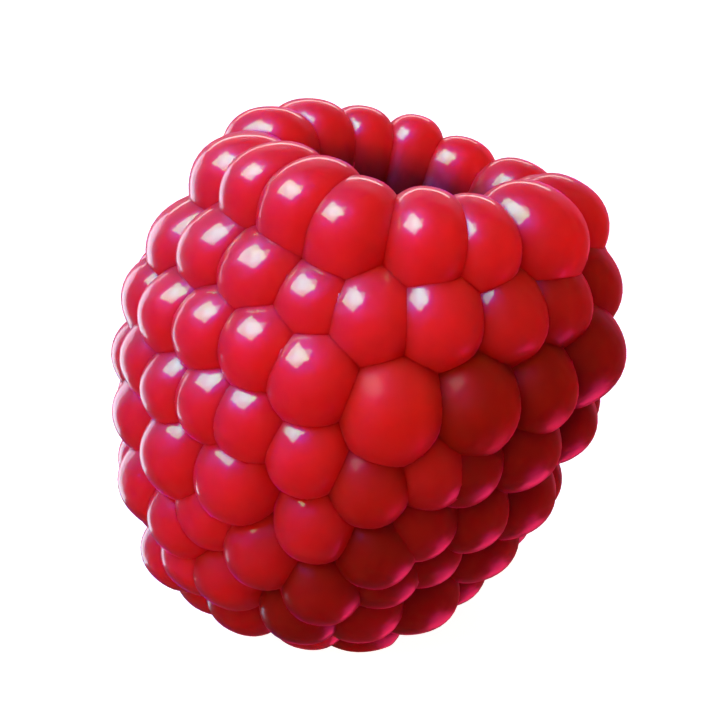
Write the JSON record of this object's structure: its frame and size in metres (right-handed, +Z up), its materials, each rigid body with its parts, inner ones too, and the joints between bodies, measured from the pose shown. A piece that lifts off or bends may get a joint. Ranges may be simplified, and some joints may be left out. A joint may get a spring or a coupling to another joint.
{
  "type": "raspberry",
  "caption": "Ripe red raspberry as picked: glossy rounded drupelets grown together around the open hollow left by its plug, resting on its blunt tip with the hollow up, leaning slightly.",
  "frame": {"origin": "on the surface that the fruit stands on, under the middle of its overall outline", "axes": "+Z up, out of the hollow's side; -Y towards the fruit's front; the fruit leans towards +X"},
  "size_m": [0.0222, 0.022, 0.0222],
  "materials": {
    "skin": "wet gloss"
  },
  "bodies": {
    "root": {"raspberry": "skin"}
  },
  "joints": []
}
